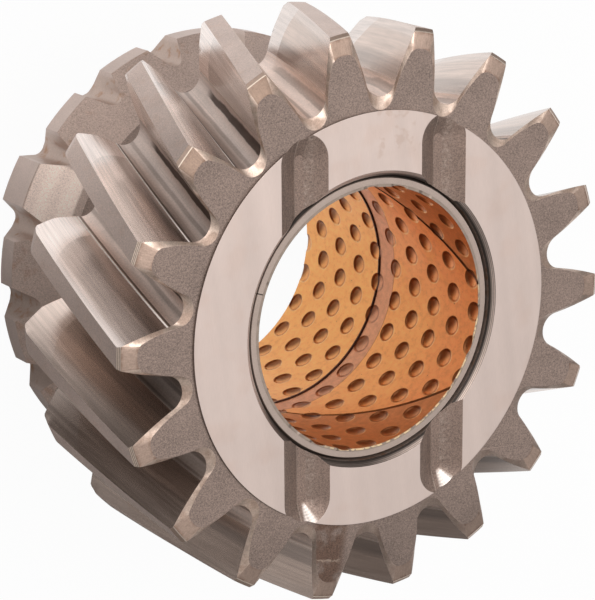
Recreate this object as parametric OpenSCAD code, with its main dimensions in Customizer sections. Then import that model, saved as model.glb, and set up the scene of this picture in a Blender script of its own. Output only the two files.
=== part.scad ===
// Helical gear wheel with a notched coupling end and a wrapped bronze-lined bush.
// Z runs along the axis to the front; the rear face of the coupling end is z = 0.

/* [Wheel] */
// Overall height from the rear face to the ground front boss
wheel_height = 71.4; // [69:0.1:75]
// Radius of the bore that the bush is pressed into
bore_r = 30; // [29:0.1:30.6]
// Radius of the ground boss ring on the front
boss_r = 43.45; // [42:0.05:43.8]
// Height of the boss above the front faces of the teeth
boss_rise = 0.5; // [0.3:0.05:1]
// Bevel at the front mouth of the bore
bore_bevel = 1.1; // [0.5:0.1:1.4]
// Bevel at the rear mouth of the bore
rear_bore_bevel = 3; // [2:0.1:4]

/* [Teeth] */
// Number of helical teeth
tooth_count = 18; // [16:1:20]
// Radius over the tooth tips
tip_r = 60; // [59:0.1:62]
// Radius at the bottom of the gaps
root_r = 46.14; // [45.6:0.02:47]
// Radius of the rounded bottom of a gap
gap_fillet_r = 3.7; // [3.4:0.1:4]
// Lean of the flank where it leaves the rounded bottom, in degrees
flank_lean = 19.4; // [17:0.1:21]
// Radius of the outward curve of the flank
flank_curve_r = 76; // [60:1:120]
// Helix angle at the tips, right-handed
helix_angle = 21.8; // [16:0.1:26]
// Distance from the front boss to the rear end of the tooth tips
tooth_end = 40; // [37:0.1:42]
// Angle of the first gap at the front, from the line across the slots
first_gap_angle = 7.65; // [0:0.05:20]

/* [Tooth edges] */
// Radius where the wide front bevel of a tooth starts
bevel_start_r = 55.94; // [54:0.02:57]
// Height of the front bevel all round a tooth
bevel_drop = 0.6; // [0.4:0.05:0.9]
// Width of the front bevel at the bottom of a gap
root_bevel = 2.04; // [1.5:0.02:2.1]
// Radius of the rounded gap bottom on the front face
face_fillet_r = 3.2; // [3:0.1:3.5]
// Size of the narrow turned chamfer at the tips
tip_chamfer = 0.8; // [0.4:0.1:1.2]
// Height of the narrow turned chamfer at the tips
tip_chamfer_drop = 0.5; // [0.3:0.1:0.8]
// Radius where the rear cone of the teeth ends
rear_cone_r = 54; // [53:0.1:56]
// Height of the rear cone of the teeth
rear_cone_drop = 2.5; // [1.5:0.1:3]

/* [Slots] */
// Distance of each straight slot from the axis
slot_offset = 17.1; // [15:0.1:20]
// Width of a slot at the boss face
slot_w = 11.18; // [9:0.02:13]
// Width of the flat floor of a slot
slot_floor_w = 2.1; // [1:0.1:4]
// Depth of a slot
slot_depth = 2.15; // [1.5:0.05:4]
// Length of a slot over its rounded ends
slot_len = 82; // [78:0.5:83]

/* [Coupling end] */
// Radius of the neck behind the teeth
neck_r = 42; // [40:0.1:42.5]
// Height of the foot of the sloped face above the rear face
cone_foot = 17.9; // [15:0.1:19]
// Height of the outer corner of the sloped face above the rear face
cone_top = 8.9; // [7:0.1:11]
// Radius over the coupling lands
flange_r = 50.37; // [49:0.01:52]
// Number of notches round the flange
notch_count = 18; // [16:1:20]
// Radius at the bottom of a notch
notch_root_r = 46.2; // [45.5:0.1:47]
// Radius of the rounded bottom of a notch
notch_fillet_r = 2.3; // [1.8:0.1:2.6]
// Lean of each side of a notch, in degrees
notch_lean = 32; // [20:1:36]
// Angle of the first notch
first_notch_angle = 3.5; // [0:0.1:20]
// Height of the rear bevel of the lands
land_bevel = 4; // [2:0.1:4.1]
// Which land is left without the rear bevel, counted round from the first notch
full_land = 7; // [0:1:15]

/* [Bush] */
// Depth of the bush end below the front boss
bush_recess = 1.45; // [0.5:0.05:3]
// Length of the bush
bush_len = 63.8; // [60:0.1:65]
// Wall of the whole bush
bush_wall = 2.5; // [2:0.1:3]
// Wall of the bronze lining inside it
lining_wall = 0.6; // [0.5:0.05:0.9]
// Radial size of the bevel on the outer edge of the bush ends
bush_bevel = 0.65; // [0.3:0.05:1]
// Angle of that bevel from the axis, in degrees
bush_bevel_angle = 20; // [15:1:45]
// Play between the bush and the bore, none because it is pressed in
press_play = 0; // [0:0.01:0.1]
// Play between the lining and the shell, none because it is sintered on
bond_play = 0; // [0:0.01:0.1]

/* [Bush pattern] */
// Distance of the oil groove's front edge below the front boss
groove_top = 31.3; // [25:0.1:36]
// Width of the oil groove round the bore
groove_w = 5.7; // [3:0.1:8]
// Depth of the oil groove
groove_depth = 0.3; // [0.1:0.05:0.4]
// Radius of the ball that presses a grease dimple
dimple_ball_r = 4.6; // [4:0.1:6]
// Depth of a dimple
dimple_depth = 0.42; // [0.2:0.02:0.45]
// Turn from one dimple to the next along a row, in degrees
row_turn = 14.65; // [13:0.05:18]
// Rise from one dimple to the next along a row
row_rise = 1.06; // [0.6:0.02:1.4]
// Turn from one row to the next, in degrees
line_turn = 5.2; // [4.5:0.1:6]
// Drop from one row to the next
line_drop = 7.35; // [7:0.05:9]
// Angle of the dimple that the pattern is set out from
dimple_start_angle = -6.3; // [-10:0.1:10]
// Depth of that dimple below the front boss
dimple_start_depth = 23.4; // [20:0.1:26]
// Angle of the butt joint of the wrapped bush
seam_angle = 160; // [140:1:180]
// Width of each slanting score line
score_w = 0.9; // [0.5:0.1:1.5]
// Depth of each slanting score line
score_depth = 0.25; // [0.1:0.05:0.25]

/* [Hidden] */
$fn = 96;
steel = "#9a918c";
bush_steel = "#a8a49e";
bronze = "#c8823c";

// Small overrun so that a cutter passes clear of the face it opens
past = 1;

// Heights of the toothed part above the rear face
face_z = wheel_height - boss_rise;
bevel_z = face_z - bevel_drop;
body_z = bevel_z - tip_chamfer_drop;
tip_end_z = wheel_height - tooth_end;
rear_z = tip_end_z - rear_cone_drop;

// Turn of the helix for each millimetre of height
twist_per_mm = tan(helix_angle) * 180 / (PI * tip_r);
pitch = 360 / tooth_count;

// Radius inside which the toothed ring is joined to the turned hub
core_r = (bore_r + boss_r) / 2;

// Steps of the curves and of the helix
fillet_steps = 3;
flank_steps = 3;
helix_steps = 7;

// Sizes of the bush
shell_r = bore_r - press_play;
bush_bore_r = shell_r - bush_wall;
lining_r = bush_bore_r + lining_wall;
bush_top_z = wheel_height - bush_recess;
bush_end_z = bush_top_z - bush_len;

// Where the flank leaves the rounded gap bottom, with the gap centre line as y
function leave_point(root, fillet) = [
    fillet * cos(flank_lean),
    root + fillet - fillet * sin(flank_lean)
];

// Centre of the flank's outward curve
function flank_centre(root, fillet) =
    leave_point(root, fillet) + flank_curve_r * [cos(flank_lean), -sin(flank_lean)];

// Angle swept along the flank from the gap bottom until it meets radius top
function flank_sweep(root, fillet, top) =
    let (
        c = flank_centre(root, fillet),
        along = c * [sin(flank_lean), cos(flank_lean)],
        across = c * [cos(flank_lean), -sin(flank_lean)],
        k = (top * top - c * c - flank_curve_r * flank_curve_r) / (2 * flank_curve_r)
    )
    asin(k / norm(c)) + atan2(across, along);

function fillet_point(root, fillet, a) =
    [fillet * cos(a), root + fillet - fillet * sin(a)];

function flank_point(root, fillet, a) =
    flank_centre(root, fillet)
    - flank_curve_r * [cos(flank_lean + a), -sin(flank_lean + a)];

// One side of a gap from its bottom to the tip, as [radius, angle] pairs
function gap_side(root, fillet, top) =
    let (
        sweep = flank_sweep(root, fillet, top),
        bottom = [for (i = [1 : fillet_steps])
            fillet_point(root, fillet, 90 - (90 - flank_lean) * i / fillet_steps)],
        flank = [for (i = [1 : flank_steps])
            flank_point(root, fillet, sweep * i / flank_steps)]
    )
    [for (p = concat(bottom, flank)) [norm(p), atan2(p[0], p[1])]];

// A whole pitch: gap bottom, one flank, tip middle and the next flank
function pitch_points(root, fillet, top) =
    let (side = gap_side(root, fillet, top), n = len(side))
    concat(
        [[root, 0]],
        side,
        [[top, pitch / 2]],
        [for (i = [n - 1 : -1 : 0]) [side[i][0], pitch - side[i][1]]]
    );

// The outline all round
function outline(root, fillet, top) =
    [for (k = [0 : tooth_count - 1], p = pitch_points(root, fillet, top))
        [p[0], p[1] + k * pitch + first_gap_angle]];

function place(r, a, z) =
    let (turn = a + (z - bevel_z) * twist_per_mm)
    [r * cos(turn), r * sin(turn), z];

// Height of the rear cone at a radius, and a small edge where the radius is less
function cone_z(r) =
    tip_end_z - rear_cone_drop * min(tip_r - r, tip_r - rear_cone_r) * 0.88
    / (tip_r - rear_cone_r);

// Rows of points from the front hub edge, over the teeth, to the rear hub edge
full = outline(root_r, gap_fillet_r, tip_r);
shy = outline(root_r, gap_fillet_r, tip_r - tip_chamfer);
face = outline(root_r - root_bevel, face_fillet_r, bevel_start_r);
rows = concat(
    [[for (p = face) place(core_r, p[1], face_z)]],
    [[for (p = face) place(p[0], p[1], face_z)]],
    [[for (p = shy) place(p[0], p[1], bevel_z)]],
    [for (i = [0 : helix_steps - 1])
        [for (p = full) place(p[0], p[1], body_z + (tip_end_z + 1 - body_z) * i / (helix_steps - 1))]],
    [[for (p = full) place(p[0], p[1], cone_z(p[0]))]],
    [[for (p = full) place(min(p[0] - 0.4, rear_cone_r), p[1], rear_z)]],
    [[for (p = full) place(core_r, p[1], rear_z)]]
);
row_len = len(full);

module toothed_ring() {
    count = len(rows);
    points = [for (row = rows, p = row) p];
    faces = [
        for (j = [0 : count - 1], i = [0 : row_len - 1])
            let (
                next_j = (j + 1) % count,
                next_i = (i + 1) % row_len,
                a = j * row_len + i,
                b = j * row_len + next_i,
                c = next_j * row_len + next_i,
                d = next_j * row_len + i
            )
            each [[a, b, c], [a, c, d]]
    ];
    polyhedron(points = points, faces = faces, convexity = 12);
}

// Boss, hub, neck and flange as one turned profile
module turned_hub() {
    rotate_extrude()
        polygon([
            [bore_r + bore_bevel, wheel_height],
            [boss_r, wheel_height],
            [boss_r, rear_z - 0.8],
            [neck_r, rear_z - 2.5],
            [neck_r, cone_foot + 1],
            [neck_r + 0.5, cone_foot],
            [flange_r, cone_top],
            [flange_r, 0],
            [bore_r + rear_bore_bevel, 0],
            [bore_r, rear_bore_bevel],
            [bore_r, wheel_height - bore_bevel]
        ]);
}

// Space cut by a cone-pointed cutter that is driven straight along y
module slot_cutter() {
    slope = (slot_w - slot_floor_w) / 2 / slot_depth;
    end_y = (slot_len - slot_w) / 2;
    hull()
        for (y = [-end_y, end_y])
            translate([0, y, -slot_depth])
                cylinder(
                    h = slot_depth + past,
                    r1 = slot_floor_w / 2,
                    r2 = slot_w / 2 + past * slope
                );
}

// Plan of one notch, pointing along x
module notch_plan() {
    centre = notch_root_r + notch_fillet_r;
    reach = flange_r + 2;
    touch = centre - notch_fillet_r * sin(notch_lean);
    touch_half = notch_fillet_r * cos(notch_lean);
    reach_half = touch_half + (reach - touch) * tan(notch_lean);
    translate([centre, 0])
        circle(r = notch_fillet_r);
    polygon([
        [touch, -touch_half],
        [reach, -reach_half],
        [reach, reach_half],
        [touch, touch_half]
    ]);
}

// Ring that bevels the rear of the lands, left out at one land
module land_bevel_cutter() {
    land_angle = first_notch_angle + (full_land + 0.5) * 360 / notch_count;
    half_step = 180 / notch_count;
    difference() {
        rotate_extrude()
            polygon([
                [flange_r - land_bevel - past, -past],
                [flange_r + past, -past],
                [flange_r + past, land_bevel + past]
            ]);
        rotate([0, 0, land_angle])
            translate([0, 0, -2 * past])
                linear_extrude(land_bevel + 4 * past)
                    polygon([
                        [0, 0],
                        [2 * flange_r, -2 * flange_r * tan(half_step)],
                        [2 * flange_r, 2 * flange_r * tan(half_step)]
                    ]);
    }
}

module gear_body() {
    color(steel)
        difference() {
            union() {
                turned_hub();
                toothed_ring();
            }
            for (side = [-1, 1])
                translate([side * slot_offset, 0, wheel_height])
                    slot_cutter();
            for (k = [0 : notch_count - 1])
                rotate([0, 0, first_notch_angle + k * 360 / notch_count])
                    translate([0, 0, -past])
                        linear_extrude(cone_foot + 2 * past)
                            notch_plan();
            land_bevel_cutter();
        }
}

// Steel backing of the bush
module bush_shell() {
    bevel_len = bush_bevel / tan(bush_bevel_angle);
    inner_r = lining_r + bond_play;
    color(bush_steel)
        rotate_extrude()
            polygon([
                [inner_r, bush_end_z],
                [shell_r - bush_bevel, bush_end_z],
                [shell_r, bush_end_z + bevel_len],
                [shell_r, bush_top_z - bevel_len],
                [shell_r - bush_bevel, bush_top_z],
                [inner_r, bush_top_z]
            ]);
}

// Dimples lie on a slanted grid of the flat strip that the bush is rolled from
module dimples() {
    ball_at = bush_bore_r + dimple_depth - dimple_ball_r;
    half = sqrt(pow(dimple_ball_r, 2) - pow(bush_bore_r - ball_at, 2));
    margin = 1.25 * half / bush_bore_r * 180 / PI;
    for (line = [-8 : 12], step = [-30 : 30]) {
        angle = dimple_start_angle - step * row_turn + line * line_turn;
        z = wheel_height - dimple_start_depth + step * row_rise - line * line_drop;
        on_strip = angle > seam_angle - 360 + margin && angle < seam_angle - margin;
        in_length = z > bush_end_z - half / 2 && z < bush_top_z + half / 2;
        if (on_strip && in_length)
            rotate([0, 0, angle])
                translate([ball_at, 0, z])
                    sphere(r = dimple_ball_r, $fn = 24);
    }
}

// A score line that slants from the front end of the bush to the oil groove
module score_line(from_angle, to_angle) {
    steps = 12;
    low_z = wheel_height - groove_top - groove_w / 2;
    high_z = bush_top_z + past;
    inner = bush_bore_r - past;
    outer = bush_bore_r + score_depth;
    ring = [
        [inner, -score_w / 2],
        [outer, -score_w / 2],
        [outer, score_w / 2],
        [inner, score_w / 2]
    ];
    points = [
        for (i = [0 : steps], q = ring)
            let (
                a = from_angle + (to_angle - from_angle) * i / steps
                    + q[1] / bush_bore_r * 180 / PI,
                z = high_z + (low_z - high_z) * i / steps
            )
            [q[0] * cos(a), q[0] * sin(a), z]
    ];
    sides = [
        for (i = [0 : steps - 1], k = [0 : 3])
            let (
                a = i * 4 + k,
                b = i * 4 + (k + 1) % 4,
                c = (i + 1) * 4 + (k + 1) % 4,
                d = (i + 1) * 4 + k
            )
            each [[a, b, c], [a, c, d]]
    ];
    last = steps * 4;
    ends = [[3, 2, 1], [3, 1, 0], [last, last + 1, last + 2], [last, last + 2, last + 3]];
    polyhedron(points = points, faces = concat(sides, ends), convexity = 4);
}

// Bronze lining with its oil groove, dimples and score lines
module bush_lining() {
    color(bronze)
        difference() {
            translate([0, 0, bush_end_z])
                cylinder(r = lining_r, h = bush_len);
            translate([0, 0, bush_end_z - past])
                cylinder(r = bush_bore_r, h = bush_len + 2 * past);
            translate([0, 0, wheel_height - groove_top - groove_w])
                cylinder(r = bush_bore_r + groove_depth, h = groove_w);
            dimples();
            score_line(5, 60);
            score_line(-41, -105);
        }
}

gear_body();
bush_shell();
bush_lining();
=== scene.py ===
# Helical gear wheel with a notched coupling end and a wrapped, dimpled bush.
# Metres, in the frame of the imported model: +Z up the axis, rear face on the floor.
import math
import random

import bpy
import bmesh

from mathutils import Matrix, Vector


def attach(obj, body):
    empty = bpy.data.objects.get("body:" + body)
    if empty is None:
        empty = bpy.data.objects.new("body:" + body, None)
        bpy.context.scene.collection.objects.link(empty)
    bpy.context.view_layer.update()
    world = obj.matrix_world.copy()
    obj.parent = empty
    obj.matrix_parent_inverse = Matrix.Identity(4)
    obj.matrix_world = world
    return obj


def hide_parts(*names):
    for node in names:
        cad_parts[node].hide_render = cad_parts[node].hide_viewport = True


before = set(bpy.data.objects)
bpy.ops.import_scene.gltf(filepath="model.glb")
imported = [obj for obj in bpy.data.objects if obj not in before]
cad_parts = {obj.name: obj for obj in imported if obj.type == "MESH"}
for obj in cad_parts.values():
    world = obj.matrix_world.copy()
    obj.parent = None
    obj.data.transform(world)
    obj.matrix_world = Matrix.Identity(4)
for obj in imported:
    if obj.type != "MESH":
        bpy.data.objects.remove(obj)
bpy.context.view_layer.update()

MM = 0.001

# Sizes of the wheel in millimetres, as in the solids
WHEEL_HEIGHT = 71.4
BORE_R = 30.0
BOSS_R = 43.45
BOSS_RISE = 0.5
BORE_BEVEL = 1.1
REAR_BORE_BEVEL = 3.0

TOOTH_COUNT = 18
TIP_R = 60.0
ROOT_R = 46.14
GAP_FILLET_R = 3.7
FLANK_LEAN = math.radians(19.4)
FLANK_CURVE_R = 76.0
HELIX_ANGLE = math.radians(21.8)
TOOTH_END = 40.0
FIRST_GAP_ANGLE = math.radians(7.65)

BEVEL_START_R = 55.94
BEVEL_DROP = 0.6
ROOT_BEVEL = 2.04
FACE_FILLET_R = 3.2
TIP_CHAMFER = 0.8
TIP_CHAMFER_DROP = 0.5
REAR_CONE_R = 54.0
REAR_CONE_DROP = 2.5

SLOT_OFFSET = 17.1
SLOT_W = 11.18
SLOT_FLOOR_W = 2.1
SLOT_DEPTH = 2.15
SLOT_LEN = 82.0

NECK_R = 42.0
CONE_FOOT = 17.9
CONE_TOP = 8.9
FLANGE_R = 50.37
NOTCH_COUNT = 18
NOTCH_ROOT_R = 46.2
NOTCH_FILLET_R = 2.3
NOTCH_LEAN = math.radians(32)
FIRST_NOTCH_ANGLE = math.radians(3.5)
LAND_BEVEL = 4.0
FULL_LAND = 7
FULL_LAND_ANGLE = FIRST_NOTCH_ANGLE + (FULL_LAND + 0.5) * 2 * math.pi / NOTCH_COUNT

BUSH_BORE_R = 27.5
BUSH_RECESS = 1.45
GROOVE_TOP = 31.3
GROOVE_W = 5.7
SEAM_ANGLE = 160
LEFT_SCORE = (5, 60)
RIGHT_SCORE = (-41, -105)
SCORE_START = BUSH_RECESS - 1
ROW_TURN = 14.65
ROW_RISE = 1.06
LINE_TURN = 5.2
LINE_DROP = 7.35
DIMPLE_START_ANGLE = -6.3
DIMPLE_START_DEPTH = 23.4
DIMPLE_R = 2.05

# Spacing of the tool marks in millimetres
TURNED_FEED = 0.42
FACED_FEED = 0.5
MILLED_FEED = 0.6

FACE_Z = WHEEL_HEIGHT - BOSS_RISE
BEVEL_Z = FACE_Z - BEVEL_DROP
BODY_Z = BEVEL_Z - TIP_CHAMFER_DROP
TIP_END_Z = WHEEL_HEIGHT - TOOTH_END
REAR_Z = TIP_END_Z - REAR_CONE_DROP
TWIST_PER_MM = math.tan(HELIX_ANGLE) / TIP_R
PITCH = 2 * math.pi / TOOTH_COUNT
# The toothed ring starts at this radius, inside the hub
CORE_R = 38.0

# Steps along the tooth outline and along the helix
BOTTOM_STEPS = 8
FLANK_STEPS = 10
TIP_STEPS = 8
HELIX_STEPS = 40
CORNER_STEPS = 5

# Round at the rear corner of the tips, and the height of its last row
REAR_ROUND = 1.5
REAR_ROUND_Z = TIP_END_Z + 1


# Fields and paints: a small language for procedural materials
class Field:
    """A number socket of a node tree that can be used in sums."""

    def __init__(self, tree, socket):
        self.tree, self.socket = tree, socket

    def _node(self, operation, *others):
        node = self.tree.nodes.new("ShaderNodeMath")
        node.operation = operation
        for slot, value in enumerate((self, *others)):
            if isinstance(value, Field):
                self.tree.links.new(value.socket, node.inputs[slot])
            else:
                node.inputs[slot].default_value = value
        return Field(self.tree, node.outputs[0])

    def __add__(self, other):
        return self._node("ADD", other)

    def __sub__(self, other):
        return self._node("SUBTRACT", other)

    def __mul__(self, other):
        return self._node("MULTIPLY", other)

    def __truediv__(self, other):
        return self._node("DIVIDE", other)

    __radd__ = __add__
    __rmul__ = __mul__

    def __rsub__(self, other):
        return (self * -1) + other

    def power(self, other):
        return self._node("POWER", other)

    def abs(self):
        return self._node("ABSOLUTE")

    def floor(self):
        return self._node("FLOOR")

    def fract(self):
        return self._node("FRACT")

    def wave(self, length):
        """Sine of the value, from -1 to 1, with the given wave length."""
        return (self * (2 * math.pi / length))._node("SINE")

    def degrees_from(self, x):
        """Direction in degrees of the point whose second coordinate is this field."""
        return self._node("ARCTAN2", x) * math.degrees(1)

    def high(self, other):
        return self._node("MAXIMUM", other)

    def step(self, start, stop):
        """Smooth rise from 0 at start to 1 at stop, or a fall if start is above stop."""
        node = self.tree.nodes.new("ShaderNodeMapRange")
        node.interpolation_type = "SMOOTHSTEP"
        self.tree.links.new(self.socket, node.inputs["Value"])
        low, high, first, last = start, stop, 0.0, 1.0
        if start > stop:
            low, high, first, last = stop, start, 1.0, 0.0
        node.inputs["From Min"].default_value = low
        node.inputs["From Max"].default_value = high
        node.inputs["To Min"].default_value = first
        node.inputs["To Max"].default_value = last
        return Field(self.tree, node.outputs["Result"])

    def band(self, middle, half, soft):
        """1 within half of middle, falling to 0 over soft."""
        return (self - middle).abs().step(half + soft, half)


class Paint:
    """A Principled material whose inputs are worked out from object coordinates in mm."""

    def __init__(self, name, metallic, roughness):
        self.material = bpy.data.materials.new(name)
        self.material.use_nodes = True
        self.tree = self.material.node_tree
        self.nodes, self.links = self.tree.nodes, self.tree.links
        self.nodes.clear()
        self.out = self.nodes.new("ShaderNodeOutputMaterial")
        self.bsdf = self.nodes.new("ShaderNodeBsdfPrincipled")
        self.links.new(self.bsdf.outputs[0], self.out.inputs[0])
        self.bsdf.inputs["Metallic"].default_value = metallic
        self.bsdf.inputs["Roughness"].default_value = roughness
        coordinates = self.nodes.new("ShaderNodeTexCoord")
        scale = self.nodes.new("ShaderNodeVectorMath")
        scale.operation = "SCALE"
        scale.inputs["Scale"].default_value = 1000
        self.links.new(coordinates.outputs["Object"], scale.inputs[0])
        self.at = scale.outputs[0]
        split = self.nodes.new("ShaderNodeSeparateXYZ")
        self.links.new(self.at, split.inputs[0])
        self.x, self.y, self.z = (Field(self.tree, split.outputs[i]) for i in range(3))
        self.r = (self.x * self.x + self.y * self.y).power(0.5)
        self.angle = self.y.degrees_from(self.x)

    def tooth_frame(self):
        """Signed degrees from the nearest gap centre, and its number from -9 to 8."""
        pitch = 360 / TOOTH_COUNT
        turn = (self.z - BEVEL_Z) * math.degrees(TWIST_PER_MM) + math.degrees(FIRST_GAP_ANGLE)
        phase = (self.angle - turn) / pitch + 0.5
        half = TOOTH_COUNT / 2
        number = ((phase.floor() + 3 * half + 0.5) / TOOTH_COUNT).fract() * TOOTH_COUNT
        return (phase.fract() - 0.5) * pitch, number - half - 0.5

    def vector(self, x, y, z):
        """Three numbers or fields as one vector."""
        join = self.nodes.new("ShaderNodeCombineXYZ")
        for slot, value in enumerate((x, y, z)):
            if isinstance(value, Field):
                self.links.new(value.socket, join.inputs[slot])
            else:
                join.inputs[slot].default_value = value
        return join.outputs[0]

    def noise(self, size, detail=2.0, at=None):
        """Noise from about 0 to 1 with features of the given size in mm."""
        node = self.nodes.new("ShaderNodeTexNoise")
        node.inputs["Scale"].default_value = 1 / size
        node.inputs["Detail"].default_value = detail
        self.links.new(at or self.at, node.inputs["Vector"])
        return Field(self.tree, node.outputs["Fac"])

    def vary(self, amount, size, detail=2.0):
        """Noise with features of the given size in mm, as a swing round 0."""
        return amount * (self.noise(size, detail) - 0.5)

    def strokes(self, x, y, z):
        """Noise from about 0 to 1, stretched by the factors that are in the coordinates."""
        return self.noise(1.0, 2.0, self.vector(x, y, z))

    def blend(self, factor, first, second):
        """The first colour where the factor is 0, the second where it is 1."""
        node = self.nodes.new("ShaderNodeMix")
        node.data_type = "RGBA"
        self.links.new(factor.socket, node.inputs["Factor"])
        for key, value in (("A", first), ("B", second)):
            if isinstance(value, tuple):
                node.inputs[key].default_value = (*value, 1)
            else:
                self.links.new(value, node.inputs[key])
        return node.outputs["Result"]

    def shade(self, color, factor):
        """The colour times a number field."""
        node = self.nodes.new("ShaderNodeVectorMath")
        node.operation = "SCALE"
        if isinstance(color, tuple):
            node.inputs[0].default_value = color
        else:
            self.links.new(color, node.inputs[0])
        self.links.new(factor.socket, node.inputs["Scale"])
        return node.outputs[0]

    def finish(self, color, roughness=None, bump=None, height=0.02, edge=0.0, metal=None):
        """Link the colour and any fields; bump height and edge rounding are in mm."""
        self.links.new(color, self.bsdf.inputs["Base Color"])
        if metal is not None:
            self.links.new(metal.socket, self.bsdf.inputs["Metallic"])
        if roughness is not None:
            self.links.new(roughness.socket, self.bsdf.inputs["Roughness"])
        normal = None
        if edge:
            rounding = self.nodes.new("ShaderNodeBevel")
            rounding.samples = 4
            rounding.inputs["Radius"].default_value = edge * MM
            normal = rounding.outputs[0]
        if bump is not None:
            node = self.nodes.new("ShaderNodeBump")
            node.inputs["Distance"].default_value = height * MM
            node.inputs["Strength"].default_value = 1.0
            self.links.new(bump.socket, node.inputs["Height"])
            if normal:
                self.links.new(normal, node.inputs["Normal"])
            normal = node.outputs[0]
        if normal:
            self.links.new(normal, self.bsdf.inputs["Normal"])
        return self.material


def sector(p, middle, inner, outer):
    """1 within inner degrees round the axis from the middle, 0 past outer."""
    turn = ((p.angle - middle + 540) / 360).fract() * 360 - 180
    return turn.abs().step(outer, inner)


def speckle(p, amount):
    """Grain of a blasted surface as a factor round 1."""
    fine, mid, cloud = p.vary(1.6, 0.22, 1.0), p.vary(1.1, 0.42), p.vary(0.5, 9.0)
    return 1 + amount * (fine + mid + cloud)


# Colours of the steel, some used by more than one material
STEEL_DARK = (0.30, 0.224, 0.190)
STEEL_WARM = (0.31, 0.215, 0.165)
STAIN = (0.15, 0.078, 0.050)
BEIGE = (0.40, 0.28, 0.22)
CREAM = (0.60, 0.465, 0.385)
FLANK_GREY = (0.66, 0.585, 0.545)
FLANK_BROWN = (0.68, 0.54, 0.465)
FLANK_LIGHT = (0.78, 0.68, 0.63)
FLANK_TAN = (0.72, 0.59, 0.52)
FLANK_SHADE = (0.36, 0.295, 0.262)
FLANK_ROOT = (0.52, 0.42, 0.37)
BOSS_LIGHT = (0.63, 0.52, 0.475)
SHADED_BEVEL_BLACK = (0.05, 0.038, 0.032)

# Places that differ in the photograph: an angle in degrees, and numbers of gaps
STAIN_ANGLE = -104.5
TOP_LEFT_GAP = 4
LEFT_GAP = 7
NEXT_TO_LOWEST_GAP = -8
LOWEST_GAP = -9

# The ground part of a flank ends in a lip at this radius, and at this height by the lip
LIP_R = 49.15
RUN_OUT_Z = TIP_END_Z + 5.0


def blasted_steel():
    p = Paint("blasted_steel", 0.55, 0.55)
    grain = speckle(p, 0.85)
    edge = p.noise(6.0, 3.0).step(0.55, 0.75)
    base = p.blend(edge * 0.35, STEEL_DARK, STEEL_WARM)
    return p.finish(p.shade(base, grain), bump=p.noise(0.25, 1.0), height=0.02, edge=0.12)


def stained_front():
    """Blasted tooth fronts, with the brown stain on one tooth."""
    p = Paint("blasted_front", 0.55, 0.55)
    grain = speckle(p, 0.85)
    across = (p.angle - STAIN_ANGLE).abs()
    patch = across.step(7.0, 3.5) * p.noise(3.0, 3.0).step(0.30, 0.55)
    base = p.blend(patch * 0.8, STEEL_DARK, STAIN)
    low_side = p.y.step(-32, -54) * 0.22
    scratched = p.vector(p.x * 0.25 + p.y * 3.0, p.y * 0.25, 7.0)
    scratches = p.noise(1.0, 1.0, scratched).step(0.72, 0.78)
    lit = (p.r - p.vary(1.2, 1.2)).band(51.3, 0.1, 0.2) * across.step(5.0, 4.0)
    grain = grain * (1 - low_side) + scratches * 0.25
    base = p.blend(lit * 0.6, base, (0.50, 0.38, 0.30))
    return p.finish(p.shade(base, grain), bump=p.noise(0.25, 1.0), height=0.02, edge=0.12)


def bevel_steel():
    """Machined bevels along the roots and flanks of the fronts."""
    p = Paint("bevel_steel", 0.85, 0.36)
    grain = 1 + p.vary(0.7, 0.3, 1.0) + p.vary(0.5, 2.0)
    warm = p.noise(3.0).step(0.42, 0.66)
    base = p.blend(warm * 0.75, CREAM, BEIGE)
    # Bevels on one side of the wheel are darkened towards the face colour, a painted shade.
    base = p.blend(sector(p, -55, 45, 75) * 0.7, base, STEEL_DARK)
    rough = 0.34 + 0.2 * warm
    return p.finish(p.shade(base, grain), rough, p.noise(0.3, 1.0), 0.015, edge=0.1)


def tip_bevel_steel():
    """Wide beige bevels at the tooth tips, browner towards their edges."""
    p = Paint("tip_bevel_steel", 0.7, 0.42)
    grain = 1 + p.vary(0.5, 0.3, 1.0) + p.vary(0.3, 2.0)
    inner = p.r.band(BEVEL_START_R - 0.6, 0.3, 0.8)
    brown = inner.high(p.r.step(TIP_R - 1.6, TIP_R - 0.7)) * p.noise(1.6).step(0.35, 0.6)
    strokes = p.strokes(p.angle * 4.0, p.r * 0.5, 0.0)
    base = p.blend(brown * 0.75, (0.47, 0.34, 0.275), (0.24, 0.14, 0.10))
    # Two sides of the wheel where the bevels are duller
    left_top = sector(p, 126, 22, 34) * 0.55
    below = sector(p, -95, 30, 50) * 0.30
    base = p.blend(left_top, base, (0.36, 0.235, 0.165))
    grain = (grain + 0.5 * (strokes - 0.5)) * (1 - (left_top * 0.5).high(below))
    return p.finish(p.shade(base, grain), bump=p.noise(0.3, 1.0), height=0.012, edge=0.1)


def turned_steel():
    """Narrow chamfers with the rings that the turning tool left, which show as bright painted
    highlights in one sector, and a painted highlight along the inner edge elsewhere.
    """
    p = Paint("turned_steel", 0.9, 0.34)
    rings = (p.r - p.z).wave(TURNED_FEED)
    striped = sector(p, 178, 20, 28)
    inner_edge = TIP_R - TIP_CHAMFER + 0.18
    inner = p.r.step(inner_edge + 0.04, inner_edge - 0.04)
    ring_and_edge_glint = (rings.step(0.2, 0.75) * striped).high(inner * (1 - striped) * 0.9)
    grain = 1 + p.vary(0.3, 0.5, 1.0)
    base = p.blend(ring_and_edge_glint, (0.40, 0.295, 0.24), (0.92, 0.78, 0.66))
    return p.finish(p.shade(base, grain), bump=rings * striped, height=0.02, edge=0.08)


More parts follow.
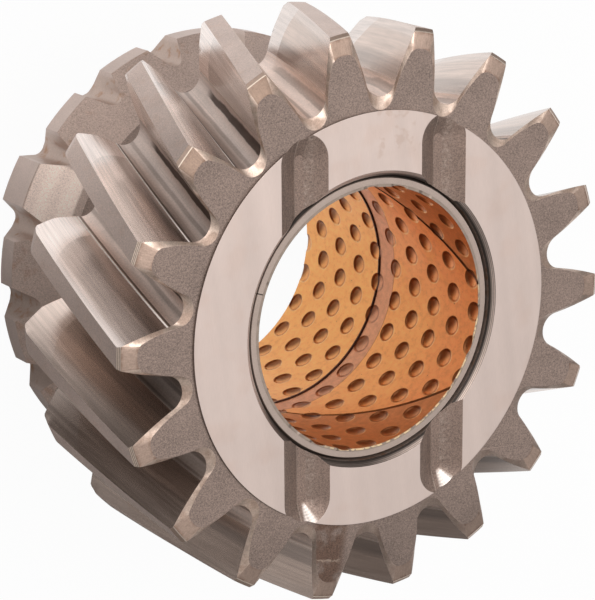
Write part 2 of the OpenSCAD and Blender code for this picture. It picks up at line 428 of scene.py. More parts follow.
def bore_bevel_steel():
    """Bevel at the mouth of the bore, painted near black as shade, with painted light towards the
    boss at some places and on the near side.
    """
    p = Paint("bore_bevel_steel", 0.6, 0.4)
    near_side = sector(p, 150, 48, 70)
    left = sector(p, -118, 22, 48) * 0.85
    dark = left.high(sector(p, 48, 22, 44) * 0.4)
    painted_light = p.r.step(BORE_R + 0.2, BORE_R + 0.75).high(near_side) * (1 - dark)
    rings = (p.r + p.z).wave(FACED_FEED)
    grain = 1 + p.vary(0.3, 0.5) + 0.4 * rings * (1 - near_side)
    base = p.blend(painted_light, SHADED_BEVEL_BLACK, (0.66, 0.53, 0.465))
    return p.finish(p.shade(base, grain), edge=0.08)


def tip_land():
    """Outside of the teeth, a fine matt grey."""
    p = Paint("tip_land", 0.75, 0.46)
    grain = 1 + p.vary(0.55, 0.3, 1.0) + p.vary(0.22, 7.0)
    warm = p.noise(3.0).step(0.5, 0.75) * 0.5
    base = p.blend(warm, (0.67, 0.535, 0.475), (0.63, 0.47, 0.395))
    return p.finish(p.shade(base, grain), bump=p.noise(0.3, 1.0), height=0.008, edge=0.1)


def ground_flank():
    """Flanks and gap bottoms: ground zone, run-out at the rear, streaked root.

    The tone and the tint follow the reflections in the photograph, gap by gap.
    """
    p = Paint("ground_flank", 1.0, 0.3)
    across, gap = p.tooth_frame()
    side = across.step(-0.5, 0.5)
    upper = gap.step(-0.5, 0.5)
    top_left = gap.band(TOP_LEFT_GAP, 1.2, 0.6)
    left = gap.band(LEFT_GAP, 1.4, 0.6)
    middle = gap.band(LEFT_GAP - 0.5, 0.6, 0.6)
    next_up = gap.band(NEXT_TO_LOWEST_GAP, 0.3, 0.5)
    lowest = gap.band(LOWEST_GAP, 0.6, 0.6)
    streaks = p.strokes(p.r * 1.5, p.z * 0.06, gap * 7.3 + side * 3.1)
    fine = p.strokes(p.r * 3.0, p.z * 0.08, gap * 3.7 + side * 5.3)

    # The ground zone ends in a rounded tongue, and the land beside the tip stays light.
    low_r = LIP_R - 0.65
    reach = (p.r - low_r).high(0.0) / (TIP_R - low_r)
    run_out = RUN_OUT_Z + reach.power(2.2) * 7.0 + p.vary(0.6, 2.5)
    rear = (p.z - run_out).step(0.25, -0.25)
    tip_side = (p.r + (fine - 0.5) * 0.3).step(TIP_R - 2.6, TIP_R - 1.4) * 0.5
    # A band of painted shade crosses the middle of each flank, deeper on one side and on most
    # lower gaps.
    flank_shade_share = 0.5 + 0.15 * (1 - side) + 0.25 * (1 - upper.high(lowest))
    flank_shade = p.r.band(51.1, 1.0, 1.7) * flank_shade_share
    base = p.blend(flank_shade, p.blend(left, FLANK_BROWN, FLANK_GREY), FLANK_SHADE)
    base = p.blend(rear.high(tip_side), base, p.blend(upper, FLANK_TAN, FLANK_LIGHT))

    # The root has a ragged stripe of painted shade along its middle, fainter painted shade beside
    # it and under the lip, and a painted highlight on the lip where the flank starts.
    root = p.r.step(LIP_R + 0.15, LIP_R - 0.25)
    drift = (p.strokes(gap * 4.1, p.z * 0.10, 0.0) - 0.5) * 0.9
    ragged = (p.strokes(across * 1.5, p.z * 0.5, gap) - 0.5) * 0.35
    wide = 0.30 + (p.z - TIP_END_Z) * 0.012
    root_shade_stripe = ((across + drift + ragged + 2.9).abs() - wide).step(0.35, 0.0)
    root_shade_stripe = root_shade_stripe * p.r.step(LIP_R - 0.55, LIP_R - 0.95) * (p.z - TIP_END_Z - 4).step(0.0, 5.0)
    root_shade_stripe = root_shade_stripe * (1 - 0.6 * gap.band(TOP_LEFT_GAP, 1.2, 0.4))
    faint = (across + drift * 0.6).band(1.4, 0.3, 0.5) * root * 0.4
    lip_highlight = p.r.band(LIP_R, 0.14, 0.12) * side * (0.12 + 0.88 * upper)
    under_lip_shade = p.r.band(LIP_R - 0.55, 0.12, 0.2) * side * (0.3 + 0.7 * upper)
    base = p.blend(root * 0.85, base, FLANK_ROOT)
    base = p.blend(root_shade_stripe.high(faint).high(under_lip_shade * 0.8), base, (0.10, 0.07, 0.058))
    base = p.blend(lip_highlight, base, (0.86, 0.78, 0.73))

    root_tone = 0.25 + 0.3 * top_left - 0.35 * middle - 0.6 * lowest
    tone = (1 + 0.2 * left - 0.2 * next_up) * (1 + root * root_tone)
    tone = tone * (1 + lowest * (0.16 - 0.42 * p.z.step(42, 66)))
    grain = 1 + 0.65 * (streaks - 0.5) + 0.14 * (fine - 0.5) + p.vary(0.15, 9.0)
    grain = grain * (1 + p.vary(0.40, 0.35, 1.0) * root)
    rough = 0.17 + 0.12 * streaks + 0.28 * root
    return p.finish(p.shade(base, grain * tone), rough, fine, 0.0008, edge=0.12,
                    metal=1 - 0.85 * lip_highlight)


def ground_boss():
    """Ground ring round the bore."""
    p = Paint("ground_boss", 1.0, 0.3)
    lay = p.strokes(p.x * 5.0, p.y * 0.5, 0.0)
    cloud = p.noise(11.0)
    bands = p.strokes(p.x * 0.16 + p.y * 0.02, 0.0, 3.0)
    grain = 1 + 0.10 * (lay - 0.5) + 0.18 * (cloud - 0.5) + 0.25 * (bands - 0.5)
    warm = p.noise(7.0).step(0.5, 0.7)
    base = p.blend(warm * 0.35, BOSS_LIGHT, (0.60, 0.46, 0.40))
    smear = p.noise(2.5).step(0.55, 0.68) * p.y.step(31, 35) * p.x.band(6, 4, 4)
    base = p.blend(smear * 0.4, base, (0.50, 0.36, 0.29))
    return p.finish(p.shade(base, grain), 0.26 + 0.1 * cloud, lay, 0.0015, edge=0.12)


def slot_steel():
    """Walls of the slots: blasted, with milling arcs left at the lower ends."""
    p = Paint("slot_steel", 0.6, 0.5)
    side_x = p.x.step(-0.01, 0.01) * 2 - 1
    dx = p.x.abs() - SLOT_OFFSET
    dy = p.y + (SLOT_LEN - SLOT_W) / 2
    from_foot = dx * side_x
    # The wall on the left of each slot is painted darker, a painted shade.
    left_wall = from_foot.step(-0.9, -1.3)

    # Fan of arcs round the point where the cutter stopped
    reach = (dx * dx + dy * dy).power(0.5)
    bearing = dy.degrees_from(from_foot)
    fan = (bearing + 72 - 7 * side_x).abs() - 4 * side_x
    milled = fan.step(26, 13) * reach.step(0.9, 2.0) * reach.step(5.9, 5.3)
    arcs = reach.wave(MILLED_FEED)
    spokes = p.strokes(bearing * 0.14, reach * 0.15, side_x)

    flank_shade = from_foot.step(0.8, 1.2) * from_foot.step(4.2, 1.5) * p.noise(0.8).step(0.3, 0.7)
    line = from_foot.band(-1.2, 0.08, 0.12)
    strip = from_foot.abs().step(1.12, 1.0)
    base = p.blend((flank_shade * 0.45).high(line * 0.6), (0.315, 0.225, 0.185), (0.53, 0.42, 0.36))
    base = p.blend(milled, base, (0.64, 0.56, 0.51))
    lines = (p.strokes(p.x * 2.6, p.y * 0.12, 0.0) - 0.5) * (0.25 + 0.25 * left_wall)
    grain = speckle(p, 0.8) * (1 - left_wall * 0.22) * (1 - strip * 0.12) + lines
    coarse = 0.9 + 0.12 * arcs + 1.1 * (spokes - 0.5) + p.vary(0.4, 0.35, 1.0)
    grain = grain * (1 - milled) + coarse * milled
    rough = 0.52 - 0.22 * milled
    bump = 0.4 * arcs * milled + p.noise(0.25, 1.0)
    return p.finish(p.shade(base, grain), rough, bump, 0.01, edge=0.15)


def flange_steel():
    """Sloped face, lands and notches of the coupling end."""
    p = Paint("flange_steel", 0.6, 0.5)
    grain = speckle(p, 0.55)
    rings = (p.r + p.z).wave(FACED_FEED)
    land = p.angle.band(math.degrees(FULL_LAND_ANGLE), 7.5, 1.0)
    land = land * p.z.step(CONE_TOP + 0.05, CONE_TOP + 0.4) * p.r.step(NECK_R + 0.8, NECK_R + 1.3)
    tint = p.noise(3.0, 3.0).step(0.5, 0.75) * p.r.step(NOTCH_ROOT_R - 0.6, NOTCH_ROOT_R + 0.4)
    base = p.blend(tint * 0.6, (0.52, 0.395, 0.34), (0.43, 0.265, 0.185))
    base = p.blend(land * 0.95, base, (1.0, 0.80, 0.70))
    soft = 1 + p.vary(0.8, 0.28, 1.0) + p.vary(0.12, 3.0)
    grain = grain * (1 - land) + (soft + 0.07 * rings) * land
    rough = 0.5 - 0.05 * land
    return p.finish(p.shade(base, grain), rough, rings * land, 0.012, edge=0.15)


def land_steel():
    """Outside and notch walls of the coupling end, smoother than its face."""
    p = Paint("land_steel", 0.7, 0.42)
    grain = 1 + p.vary(0.3, 0.3, 1.0) + p.vary(0.25, 5.0)
    wall_r = FLANGE_R - 0.47
    rim = p.noise(2.2, 3.0).step(0.5, 0.72) * p.r.step(wall_r, wall_r - 1.3)
    wall = p.r.step(wall_r, wall_r - 0.7) * 0.35
    base = p.blend(wall, (0.61, 0.485, 0.43), (0.45, 0.325, 0.25))
    base = p.blend(rim * 0.85, base, (0.44, 0.245, 0.15))
    return p.finish(p.shade(base, grain), edge=0.15)


MATS = {
    "blasted": blasted_steel(),
    "front": stained_front(),
    "bevel": bevel_steel(),
    "tip_bevel": tip_bevel_steel(),
    "turned": turned_steel(),
    "tip": tip_land(),
    "flank": ground_flank(),
    "boss": ground_boss(),
    "bore": bore_bevel_steel(),
    "slot": slot_steel(),
    "flange": flange_steel(),
    "land": land_steel(),
}
ORDER = list(MATS)


# Outline of the teeth
def gap_side(root, fillet, top):
    """Half a gap as (radius, angle) from its bottom to the tooth tip."""
    lean = FLANK_LEAN
    out = [math.cos(lean), -math.sin(lean)]
    leave = (fillet * math.cos(lean), root + fillet - fillet * math.sin(lean))
    centre = (leave[0] + FLANK_CURVE_R * out[0], leave[1] + FLANK_CURVE_R * out[1])
    along = centre[0] * math.sin(lean) + centre[1] * math.cos(lean)
    across = centre[0] * out[0] + centre[1] * out[1]
    far = math.hypot(*centre)
    k = (top ** 2 - far ** 2 - FLANK_CURVE_R ** 2) / (2 * FLANK_CURVE_R)
    sweep = math.asin(k / far) + math.atan2(across, along)
    points = []
    for i in range(1, BOTTOM_STEPS + 1):
        a = math.pi / 2 - (math.pi / 2 - lean) * i / BOTTOM_STEPS
        points.append((fillet * math.cos(a), root + fillet - fillet * math.sin(a)))
    for i in range(1, FLANK_STEPS + 1):
        a = lean + sweep * i / FLANK_STEPS
        points.append((centre[0] - FLANK_CURVE_R * math.cos(a),
                       centre[1] + FLANK_CURVE_R * math.sin(a)))
    return [(math.hypot(x, y), math.atan2(x, y)) for x, y in points]


def outline(root, fillet, top):
    """All teeth as (radius, angle), each pitch from a gap bottom over a tooth."""
    side = gap_side(root, fillet, top)
    edge = side[-1][1]
    tip = [(top, edge + (PITCH - 2 * edge) * i / TIP_STEPS) for i in range(1, TIP_STEPS)]
    one = [(root, 0.0)] + side + tip + [(r, PITCH - a) for r, a in reversed(side)]
    return [(r, a + k * PITCH + FIRST_GAP_ANGLE) for k in range(TOOTH_COUNT) for r, a in one]


def face_outline():
    """Front face: its top is an arch that differs a little from tooth to tooth."""
    points = outline(ROOT_R - ROOT_BEVEL, FACE_FILLET_R, BEVEL_START_R)
    per_pitch = len(points) // TOOTH_COUNT
    # The sides lean in above this radius, and the bevel of some gaps widens below it.
    change_r = 50.0
    wider_gaps = {3: 0.6, 4: 0.62, 5: 0.5, 6: 0.2}
    # Half the angle that the top of a tooth takes up
    top_half = 0.0635
    out = []
    for k in range(TOOTH_COUNT):
        own = random.Random(41 + k)
        squeeze = own.uniform(0.16, 0.34)
        crown = own.uniform(0.9, 1.5)
        lean = own.uniform(-0.12, 0.12)
        middle = (k + 0.5) * PITCH + FIRST_GAP_ANGLE
        for r, a in points[k * per_pitch:(k + 1) * per_pitch]:
            off = a - middle
            gap = k if off < 0 else k + 1
            rise = max(0.0, (r - change_r) / (BEVEL_START_R - change_r))
            corner = min(1.0, abs(off) / top_half)
            off *= 1 - squeeze * rise ** 2.4
            if rise > 0.97:
                r -= crown * corner ** 3
                off += lean * 0.02
            if r < change_r:
                r -= wider_gaps.get(gap, 0) * ((change_r - r) / 6) ** 2
            out.append((r, middle + off))
    return out


def place(r, a, z):
    """Point in metres, turned along the helix."""
    turn = a + (z - BEVEL_Z) * TWIST_PER_MM
    return (r * math.cos(turn) * MM, r * math.sin(turn) * MM, z * MM)


def cone_z(r):
    """Height of the sloped rear of a tooth, which takes most of the cone's drop."""
    reach = TIP_R - REAR_CONE_R
    slope_share = 0.88
    return TIP_END_Z - REAR_CONE_DROP * slope_share * min(TIP_R - r, reach) / reach


def mesh_object(name, verts, faces, slots):
    """Mesh whose faces take their materials from a list of kinds."""
    mesh = bpy.data.meshes.new(name)
    mesh.from_pydata(verts, [], faces)
    mesh.update()
    for key in ORDER:
        mesh.materials.append(MATS[key])
    mesh.polygons.foreach_set("material_index", [ORDER.index(s) for s in slots])
    obj = bpy.data.objects.new(name, mesh)
    bpy.context.collection.objects.link(obj)
    return obj


def helix_rows(full):
    """Rows of points down the teeth, and the radius that the rounded tips end with."""
    start = REAR_ROUND_Z + REAR_ROUND
    heights = [BODY_Z + (start - BODY_Z) * i / (HELIX_STEPS - 1) for i in range(HELIX_STEPS)]
    heights += [start - REAR_ROUND * i / CORNER_STEPS for i in range(1, CORNER_STEPS + 1)]
    # The arc would end this far below its last row, and goes this share of its size inwards.
    past, inward = 0.6, 0.8
    rows = []
    for z in heights:
        sunk = max(0.0, 1 - (z - REAR_ROUND_Z + past) / (REAR_ROUND + past))
        most = TIP_R - REAR_ROUND * inward * (1 - math.sqrt(1 - min(1.0, sunk) ** 2))
        rows.append([place(min(r, most), a, z) for r, a in full])
    return rows, most


def toothed_ring():
    """The teeth as one loft of outlines, from the front face to the rear cone."""
    full = outline(ROOT_R, GAP_FILLET_R, TIP_R)
    shy = outline(ROOT_R, GAP_FILLET_R, TIP_R - TIP_CHAMFER)
    face = face_outline()
    down, most = helix_rows(full)
    cone = [(min(r, most - 0.5), a) for r, a in full]
    rear = [(min(r - 0.4, REAR_CONE_R), a) for r, a in full]
    rows = [[place(CORE_R, a, FACE_Z) for r, a in face],
            [place(r, a, FACE_Z) for r, a in face],
            [place(r, a, BEVEL_Z) for r, a in shy],
            *down,
            [place(r, a, cone_z(r)) for r, a in cone],
            [place(r, a, REAR_Z) for r, a in rear],
            [place(CORE_R, a, REAR_Z) for r, a in full]]
    # Kind of surface between each row and the next
    kinds = ["front", "bevel", "turned"] + ["flank"] * len(down) + ["turned", "blasted", "blasted"]
    at_tip = {"bevel": "tip_bevel", "flank": "tip"}
    off_tip = {"turned": "flank"}
    n = len(full)
    per_pitch = n // TOOTH_COUNT
    first_tip = BOTTOM_STEPS + FLANK_STEPS
    verts = [p for row in rows for p in row]
    faces, slots = [], []
    for j, kind in enumerate(kinds):
        k = (j + 1) % len(rows)
        for i in range(n):
            m = (i + 1) % n
            faces.append((j * n + i, k * n + i, k * n + m, j * n + m))
            on_tip = first_tip <= i % per_pitch < first_tip + TIP_STEPS
            slots.append((at_tip if on_tip else off_tip).get(kind, kind))
    return mesh_object("toothed_ring", verts, faces, slots)


def hub_blank():
    """Boss, neck and coupling flange as one turned profile of (radius, height)."""
    profile = [
        (BORE_R + BORE_BEVEL, WHEEL_HEIGHT), (BOSS_R, WHEEL_HEIGHT),
        (BOSS_R, REAR_Z - 0.8), (NECK_R, REAR_Z - 2.5), (NECK_R, CONE_FOOT + 1),
        (NECK_R + 0.5, CONE_FOOT), (FLANGE_R, CONE_TOP), (FLANGE_R, 0),
        (BORE_R + REAR_BORE_BEVEL, 0), (BORE_R, REAR_BORE_BEVEL),
        (BORE_R, WHEEL_HEIGHT - BORE_BEVEL),
    ]
    kinds = ["boss", "front", "blasted", "blasted", "flange", "flange", "land", "land",
             "land", "land", "bore"]
    segments = 360
    n = len(profile)
    verts = []
    for s in range(segments):
        a = 2 * math.pi * s / segments
        verts += [(r * math.cos(a) * MM, r * math.sin(a) * MM, z * MM) for r, z in profile]
    faces, slots = [], []
    for s in range(segments):
        t = (s + 1) % segments
        for i in range(n):
            j = (i + 1) % n
            faces.append((s * n + i, s * n + j, t * n + j, t * n + i))
            slots.append(kinds[i])
    return mesh_object("hub", verts, faces, slots)


def prism(name, low_ring, high_ring, kind):
    """Closed solid between two rings of points with the same number of points."""
    n = len(low_ring)
    faces = [tuple(range(n - 1, -1, -1)), tuple(range(n, 2 * n))]
    faces += [(i, (i + 1) % n, n + (i + 1) % n, n + i) for i in range(n)]
    return mesh_object(name, low_ring + high_ring, faces, [kind] * len(faces))


def fix_normals(obj):
    bm = bmesh.new()
    bm.from_mesh(obj.data)
    bmesh.ops.recalc_face_normals(bm, faces=bm.faces)
    bm.to_mesh(obj.data)
    bm.free()


def carve(target, tool, operation="DIFFERENCE"):
    """Cut the tool from the target, or join it, and use it up."""
    fix_normals(tool)
    mod = target.modifiers.new("cut", "BOOLEAN")
    mod.operation = operation
    mod.object = tool
    mod.solver = "MANIFOLD"
    depsgraph = bpy.context.evaluated_depsgraph_get()
    result = bpy.data.meshes.new_from_object(target.evaluated_get(depsgraph))
    target.modifiers.clear()
    target.data = result
    bpy.data.objects.remove(tool)


def mark_borders(mesh):
    """Sharp edges wherever two kinds of surface meet."""
    kinds = {}
    for face in mesh.polygons:
        for key in face.edge_keys:
            kinds.setdefault(key, set()).add(face.material_index)
    smooth = {ORDER.index("bevel"), ORDER.index("tip_bevel")}
    for edge in mesh.edges:
        if len(kinds[edge.key]) > 1 and kinds[edge.key] != smooth:
            edge.use_edge_sharp = True


def notch_tool(number):
    """Opening with leaning walls and a round bottom."""
    centre = NOTCH_ROOT_R + NOTCH_FILLET_R
    reach = FLANGE_R + 2
    touch = centre - NOTCH_FILLET_R * math.sin(NOTCH_LEAN)
    half = NOTCH_FILLET_R * math.cos(NOTCH_LEAN)
    wide = half + (reach - touch) * math.tan(NOTCH_LEAN)
    points = [(reach, -wide), (reach, wide)]
    steps = 12
    for i in range(steps + 1):
        a = math.pi / 2 + NOTCH_LEAN + (math.pi - 2 * NOTCH_LEAN) * i / steps
        points.append((centre + NOTCH_FILLET_R * math.cos(a), NOTCH_FILLET_R * math.sin(a)))
    angle = FIRST_NOTCH_ANGLE + number * 2 * math.pi / NOTCH_COUNT
    c, s = math.cos(angle), math.sin(angle)
    plan = [((x * c - y * s) * MM, (x * s + y * c) * MM) for x, y in points]
    low, high = -1 * MM, (CONE_FOOT + 2) * MM
    return prism("notch", [(x, y, low) for x, y in plan], [(x, y, high) for x, y in plan], "land")


def slot_tool(x):
    """Space cut by a cone-pointed cutter driven straight along y."""
    past = 1.0
    slope = (SLOT_W - SLOT_FLOOR_W) / 2 / SLOT_DEPTH
    end_y = (SLOT_LEN - SLOT_W) / 2
    steps = 32
    rings = []
    for r, z in ((SLOT_FLOOR_W / 2, WHEEL_HEIGHT - SLOT_DEPTH),
                 (SLOT_W / 2 + past * slope, WHEEL_HEIGHT + past)):
        ring = []
        for sign in (1, -1):
            for i in range(steps + 1):
                a = math.pi * i / steps + (0 if sign > 0 else math.pi)
                ring.append(((x + r * math.cos(a)) * MM,
                             (sign * end_y + r * math.sin(a)) * MM, z * MM))
        rings.append(ring)
    return prism("slot", *rings, "slot")


def land_bevel_tool():
    """Ring that bevels the rear of the lands, left out at one land."""
    past = 1.0
    half_step = math.pi / NOTCH_COUNT
    start = FULL_LAND_ANGLE + half_step
    stop = FULL_LAND_ANGLE + 2 * math.pi - half_step
    steps = 340
    section = [(FLANGE_R - LAND_BEVEL - past, -past), (FLANGE_R + past, -past),
               (FLANGE_R + past, LAND_BEVEL + past)]
    verts = []
    for i in range(steps + 1):
        a = start + (stop - start) * i / steps
        verts += [(r * math.cos(a) * MM, r * math.sin(a) * MM, z * MM) for r, z in section]
    faces = [(0, 1, 2), (3 * steps + 2, 3 * steps + 1, 3 * steps)]
    for i in range(steps):
        for j in range(3):
            k = (j + 1) % 3
            faces.append((3 * i + j, 3 * i + 3 + j, 3 * i + 3 + k, 3 * i + k))
    return mesh_object("land_bevel", verts, faces, ["land"] * len(faces))


def dressed_wheel():
    """The whole wheel, with sharp borders between its kinds of surface."""
    wheel = toothed_ring()
    fix_normals(wheel)
    carve(wheel, hub_blank(), "UNION")
    for number in range(NOTCH_COUNT):
        carve(wheel, notch_tool(number))
    for side in (-1, 1):
        carve(wheel, slot_tool(side * SLOT_OFFSET))
    carve(wheel, land_bevel_tool())
    wheel.name = "wheel_dressed"
    wheel.data.name = "wheel_dressed"
    wheel.data.shade_smooth()
    wheel.data.set_sharp_from_angle(angle=math.radians(16))
    mark_borders(wheel.data)
    return wheel


gear = dressed_wheel()
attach(gear, "root")
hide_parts("gear_body")


# Bush
def bush_steel():
    """Steel backing with its seam, and painted shade where it meets the bore."""
    p = Paint("bush_steel", 0.9, 0.5)
    grain = 1 + p.vary(0.25, 0.3, 1.0) + p.vary(0.2, 4.0)
    seam = p.angle.band(SEAM_ANGLE, 0.12, 0.23)
    edge_shade = p.r.step(BORE_R - 0.62, BORE_R - 0.52) * 0.95
    base = p.blend(seam.high(edge_shade), (0.48, 0.385, 0.335), (0.05, 0.04, 0.035))
    return p.finish(p.shade(base, grain), edge=0.1, metal=0.75 - 0.65 * edge_shade)


def bush_bronze():
    """Sintered bronze: golden deep in the bore, in patches and along one side, browner outside the
    score lines.
    """
    p = Paint("bush_bronze", 0.68, 0.34)
    depth = WHEEL_HEIGHT - p.z
    arc = math.radians(1) * BUSH_BORE_R
    seam_side = p.angle.step(SEAM_ANGLE, SEAM_ANGLE + 0.01) * 360
    along = (p.angle - seam_side - DIMPLE_START_ANGLE) * arc
    rise = DIMPLE_START_DEPTH - depth
    # Steps along the row and from row to row, solved from the two lattice vectors.
    row_x, row_z = -ROW_TURN * arc, ROW_RISE
    line_x, line_z = LINE_TURN * arc, -LINE_DROP
    turn = row_x * line_z - row_z * line_x
    step_row = (along * (line_z / turn) - rise * (line_x / turn) + 0.5).floor()
    step_line = (rise * (row_x / turn) - along * (row_z / turn) + 0.5).floor()
    off_x = along - step_row * row_x - step_line * line_x
    off_z = rise - step_row * row_z - step_line * line_z
    reach = (off_x * off_x + off_z * off_z).power(0.5)
    dish = reach.step(DIMPLE_R + 0.15, DIMPLE_R - 0.6)
    inside = reach.step(DIMPLE_R + 0.25, DIMPLE_R)
    shaded = (off_x * 0.6 - off_z * 0.8).step(-0.9, 0.9)
    cloud = p.noise(5.0, 3.0)
    patch = p.noise(1.3)
    fleck = p.noise(0.9).step(0.73, 0.80)
    groove = depth.band(GROOVE_TOP + GROOVE_W / 2, GROOVE_W / 2 - 0.1, 0.2)
    ledge = depth.band(GROOVE_TOP + GROOVE_W, 0.2, 0.22)
    brink = depth.band(GROOVE_TOP, 0.1, 0.25) * 0.45
    # The score lines end at the middle of the groove; degrees past each of them.
    down = (depth - SCORE_START) / (GROOVE_TOP + GROOVE_W / 2 - SCORE_START)
    left = p.angle - LEFT_SCORE[0] - down * (LEFT_SCORE[1] - LEFT_SCORE[0])
    right = RIGHT_SCORE[0] - p.angle - down * (RIGHT_SCORE[0] - RIGHT_SCORE[1])
    above = depth.step(GROOVE_TOP + 0.3, GROOVE_TOP - 0.3)
    outside = left.high(right).step(-1.0, 1.5) * above
    scored = left.band(0, 0.9, 0.8).high(right.band(0, 0.7, 0.6)) * above
    lower = p.angle.step(8, -22) * depth.step(6, 20) * 0.75
    gold = depth.step(35.5, 38).high(cloud.step(0.5, 0.72) * 0.75).high(lower)
    base = p.blend(gold, (0.95, 0.405, 0.15), (1.0, 0.475, 0.155))
    base = p.blend(outside * 0.85, base, (0.58, 0.25, 0.10))
    base = p.blend(groove * 0.85, base, (0.69, 0.34, 0.205))
    # Painted shade inside the dimples, deepest on one side, and a painted highlight on the rim of
    # the lit side.
    rim_light = reach.band(DIMPLE_R + 0.02, 0.10, 0.16) * (1 - shaded) * (1 - groove)
    base = p.blend(inside * (0.10 + 0.80 * shaded), base, (0.19, 0.056, 0.015))
    base = p.blend(rim_light * 0.6, base, (1.0, 0.62, 0.28))
    # Painted shade along both edges of the groove; the score lines and the flecks are dark too.
    base = p.blend(ledge.high(brink).high(scored * 0.85).high(fleck * 0.6), base,
                   (0.085, 0.032, 0.018))
    # Front edge, smeared with steel on one side, with painted gold glints on the other.
    rim = depth.step(BUSH_RECESS + 0.06, BUSH_RECESS + 0.02)
    lit = p.angle.band(-55, 45, 30) * p.noise(1.1).step(0.42, 0.6)
    lit = lit * p.r.step(BUSH_BORE_R + 0.45, BUSH_BORE_R + 0.35)
    base = p.blend(rim, base, (0.33, 0.26, 0.215))
    base = p.blend(rim * lit, base, (0.85, 0.64, 0.38))
    grain = 1.03 + 0.55 * (patch - 0.5) + p.vary(0.25, 0.4)
    rough = 0.34 + 0.16 * cloud
    bump = patch * 0.02 - dish * 0.5
    return p.finish(p.shade(base, grain), rough, bump, 0.5, edge=0.1)


for node, material in (("bush_shell", bush_steel()), ("bush_lining", bush_bronze())):
    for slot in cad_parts[node].material_slots:
        slot.material = material


# Floor, and a dark sheet that only reflections show
FLOOR_GREY = (0.82, 0.82, 0.82)
FLOOR_GLOW = 0.96
FLAG_BROWN = (0.046, 0.029, 0.021)
FLAG_MIDDLE = -140
FLAG_HALF = 60
FLAG_SOFT = 28
FLAG_COVER = 0.8
FAR_MIDDLE = -148
FAR_COVER = 0.87


def light_path(tree):
    """Camera, glossy and transmission rays as fields."""
    path = tree.nodes.new("ShaderNodeLightPath")
    names = ("Is Camera Ray", "Is Glossy Ray", "Is Transmission Ray")
    return [Field(tree, path.outputs[name]) for name in names]


def mix_shaders(p, share, first, second):
    """Show the first shader, and the second as far as the share goes."""
    mix = p.nodes.new("ShaderNodeMixShader")
    p.links.new(share.socket, mix.inputs[0])
    p.links.new(first.outputs[0], mix.inputs[1])
    p.links.new(second.outputs[0], mix.inputs[2])
    p.links.new(mix.outputs[0], p.out.inputs[0])
    return p.material


def floor_white():
    """White to the camera, in reflections and through glass, a plain floor to other light."""
    p = Paint("floor_white", 0.0, 0.9)
    p.finish(p.shade(FLOOR_GREY, 1 + p.vary(0.02, 30.0)))
    camera, glossy, through = light_path(p.tree)
    glow = p.nodes.new("ShaderNodeEmission")
    return mix_shaders(p, camera.high(glossy).high(through) * FLOOR_GLOW, p.bsdf, glow)


def flag_dark():
    """Dark sheet on one side of the wheel, with soft borders, that puts painted shade into what
    the metal reflects.
    """
    p = Paint("flag_dark", 0.0, 0.9)
    p.finish(p.shade(FLAG_BROWN, 1 + p.vary(0.3, 25.0)))
    near = sector(p, FLAG_MIDDLE, FLAG_HALF - FLAG_SOFT, FLAG_HALF + FLAG_SOFT)
    near = near * p.r.step(30, 34) * p.r.step(160, 125)
    far = sector(p, FAR_MIDDLE, 87, 105) * p.r.step(82, 125)
    # Narrow sectors that let more or less of the white floor through
    gleam = sector(p, -150, 8, 24) * 0.28
    deep = sector(p, 141, 8, 22) * 0.12 - sector(p, 171, 4, 14) * 0.09
    cover = (near * FLAG_COVER).high(far * (FAR_COVER - gleam + deep))
    clear = p.nodes.new("ShaderNodeBsdfTransparent")
    return mix_shaders(p, cover, clear, p.bsdf)


def flat_stage(name, half, z, material):
    """Square on the floor, with the given half width."""
    corners = [(-half, -half, z), (half, -half, z), (half, half, z), (-half, half, z)]
    mesh = bpy.data.meshes.new(name)
    mesh.from_pydata(corners, [], [(0, 1, 2, 3)])
    mesh.materials.append(material)
    obj = bpy.data.objects.new(name, mesh)
    bpy.context.collection.objects.link(obj)
    return obj


flat_stage("floor", 2.0, -0.0002, floor_white())
flag = flat_stage("flag", 1.9, -0.0001, flag_dark())
flag.visible_camera = False
flag.visible_diffuse = False
flag.visible_shadow = False


# World
SKY_LOW = 0.25
SKY_HIGH = 1.05
SKY_TINT = (1, 0.985, 0.97, 1)


def lobe(sky, azimuth, elevation, inner, outer):
    """Soft round patch of sky, 1 within inner degrees of its middle and 0 past outer."""
    a, e = math.radians(azimuth), math.radians(elevation)
    x, y, z = sky
    toward = x * (math.cos(e) * math.cos(a)) + y * (math.cos(e) * math.sin(a)) + z * math.sin(e)
    return toward.step(math.cos(math.radians(outer)), math.cos(math.radians(inner)))


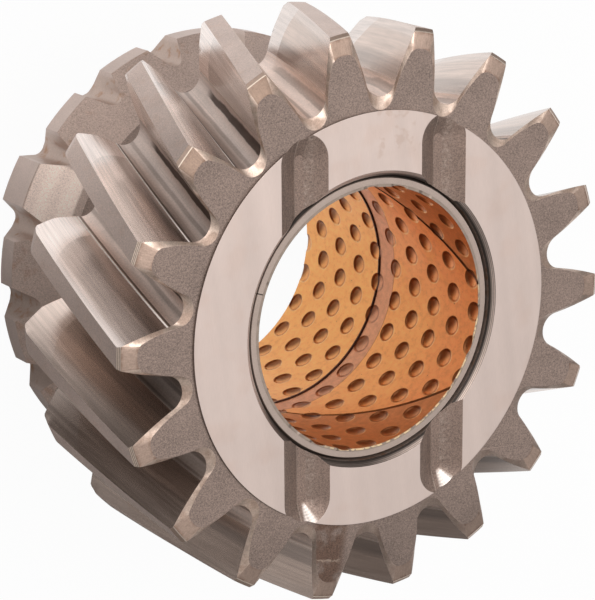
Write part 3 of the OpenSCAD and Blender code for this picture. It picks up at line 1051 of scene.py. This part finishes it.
def studio_world():
    """Sky with a bright top, two brighter patches and a dimmer one, and a white backdrop."""
    world = bpy.data.worlds.new("studio")
    bpy.context.scene.world = world
    world.use_nodes = True
    tree = world.node_tree
    tree.nodes.clear()
    out = tree.nodes.new("ShaderNodeOutputWorld")
    soft = tree.nodes.new("ShaderNodeBackground")
    white = tree.nodes.new("ShaderNodeBackground")
    mix = tree.nodes.new("ShaderNodeMixShader")
    at = tree.nodes.new("ShaderNodeTexCoord")
    split = tree.nodes.new("ShaderNodeSeparateXYZ")
    tree.links.new(at.outputs["Generated"], split.inputs[0])
    sky = [Field(tree, split.outputs[i]) for i in range(3)]
    z = sky[2]
    level = SKY_LOW + (SKY_HIGH - SKY_LOW) * z.step(0.50, 0.74)
    level = level + 0.25 * lobe(sky, 20, 66, 12, 35)
    level = level * (1 - 0.62 * lobe(sky, -160, 60, 28, 58)) + 1.1 * lobe(sky, 125, 30, 10, 34)
    tree.links.new(level.socket, soft.inputs["Strength"])
    soft.inputs["Color"].default_value = SKY_TINT
    white.inputs["Strength"].default_value = 1.0
    white.inputs["Color"].default_value = (1, 1, 1, 1)
    # The white backdrop stands at the horizon, and metal shows it there too.
    camera, glossy, through = light_path(tree)
    seen = camera.high(through).high(glossy * z.step(0.20, 0.05))
    tree.links.new(seen.socket, mix.inputs[0])
    tree.links.new(soft.outputs[0], mix.inputs[1])
    tree.links.new(white.outputs[0], mix.inputs[2])
    tree.links.new(mix.outputs[0], out.inputs[0])


def area_lamp(name, azimuth, elevation, away, size, watts):
    """White square lamp aimed at the middle of the wheel."""
    a, e = math.radians(azimuth), math.radians(elevation)
    aim = Vector((0, 0, 0.05))
    toward = Vector((math.cos(e) * math.cos(a), math.cos(e) * math.sin(a), math.sin(e)))
    data = bpy.data.lights.new(name, "AREA")
    data.energy = watts
    data.size = size
    lamp = bpy.data.objects.new(name, data)
    lamp.location = aim + away * toward
    lamp.rotation_euler = (-toward).to_track_quat("-Z", "Y").to_euler()
    bpy.context.collection.objects.link(lamp)


studio_world()
area_lamp("overhead", 60, 74, 0.7, 0.35, 1.3)


# Camera, at the photograph's viewpoint
AZIMUTH = math.radians(152.208)
ELEVATION = math.radians(52.776)
ROLL = math.radians(-0.462)
DISTANCE = 0.49581
LOOK_AT = Vector((-0.01915, 0.00768, 0.0714))
FOCAL_PIXELS = 2495.7
IMAGE_WIDTH = 595
SENSOR_WIDTH = 36


def photo_camera():
    """Camera that looks at LOOK_AT with +Y upwards, turned by the roll."""
    back = Vector((math.cos(ELEVATION) * math.cos(AZIMUTH),
                   math.cos(ELEVATION) * math.sin(AZIMUTH), math.sin(ELEVATION)))
    flat_right = (-back).cross(Vector((0, 1, 0))).normalized()
    flat_up = flat_right.cross(-back)
    right = math.cos(ROLL) * flat_right + math.sin(ROLL) * flat_up
    up = -math.sin(ROLL) * flat_right + math.cos(ROLL) * flat_up
    data = bpy.data.cameras.new("camera")
    data.sensor_width = SENSOR_WIDTH
    data.sensor_fit = "HORIZONTAL"
    data.lens = SENSOR_WIDTH * FOCAL_PIXELS / IMAGE_WIDTH
    data.clip_start = 0.01
    camera = bpy.data.objects.new("camera", data)
    spin = Matrix((right, up, back)).transposed()
    camera.matrix_world = Matrix.Translation(LOOK_AT + DISTANCE * back) @ spin.to_4x4()
    bpy.context.collection.objects.link(camera)
    return camera


bpy.context.scene.camera = photo_camera()
bpy.context.scene.view_settings.view_transform = "Standard"
